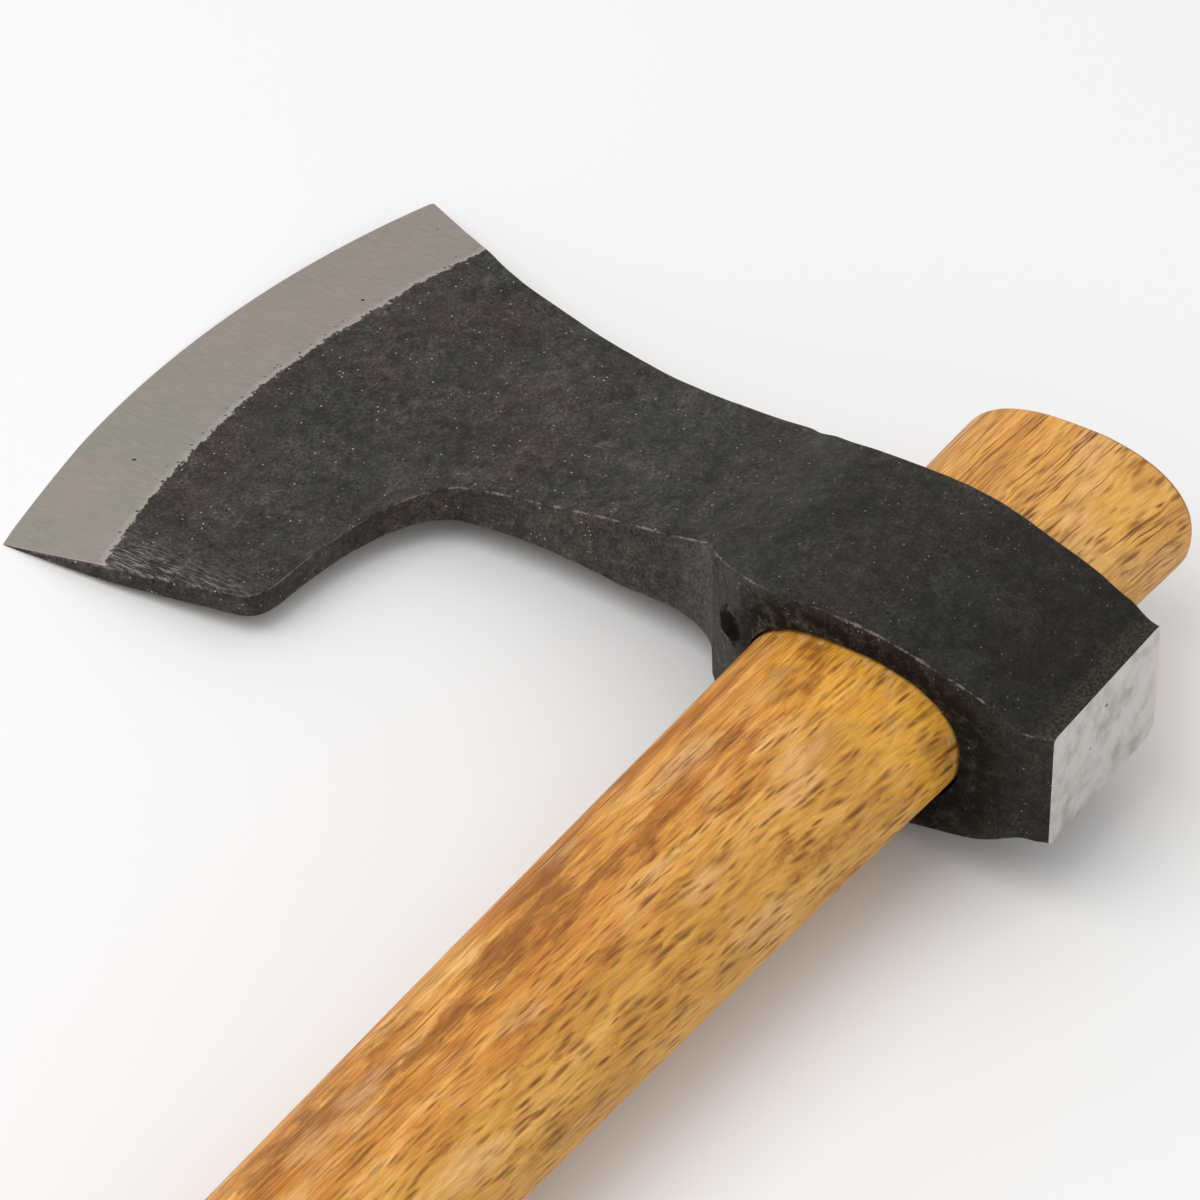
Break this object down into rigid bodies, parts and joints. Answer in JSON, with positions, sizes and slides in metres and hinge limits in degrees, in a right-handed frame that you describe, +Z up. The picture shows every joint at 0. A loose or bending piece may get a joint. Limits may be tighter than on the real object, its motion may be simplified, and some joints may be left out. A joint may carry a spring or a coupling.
{
  "type": "hatchet",
  "caption": "Forged hatchet head with a swept beard, an arc-shaped ground edge and a square poll, on a straight hardwood haft that tapers up through the eye.",
  "frame": {"origin": "bottom centre of the hatchet's box, on the surface it lies on, cheek down", "axes": "+X along the haft and out of the head's top, +Y towards the cutting edge, +Z up out of the cheek"},
  "size_m": [0.4032, 0.1746, 0.0375],
  "materials": {
    "forged_steel": "black forge scale on the cheeks, bright satin grind on the bevel and poll face",
    "haft_wood": "oiled, honey amber, straight grain with short dark ray flecks"
  },
  "bodies": {
    "head": {"head": "forged_steel"},
    "haft": {"haft": "haft_wood"}
  },
  "joints": [
    {"name": "haft_draw", "type": "slide", "parent": "head", "child": "haft", "axis": [1, 0, 0], "range_m": [0, 0.38]}
  ]
}
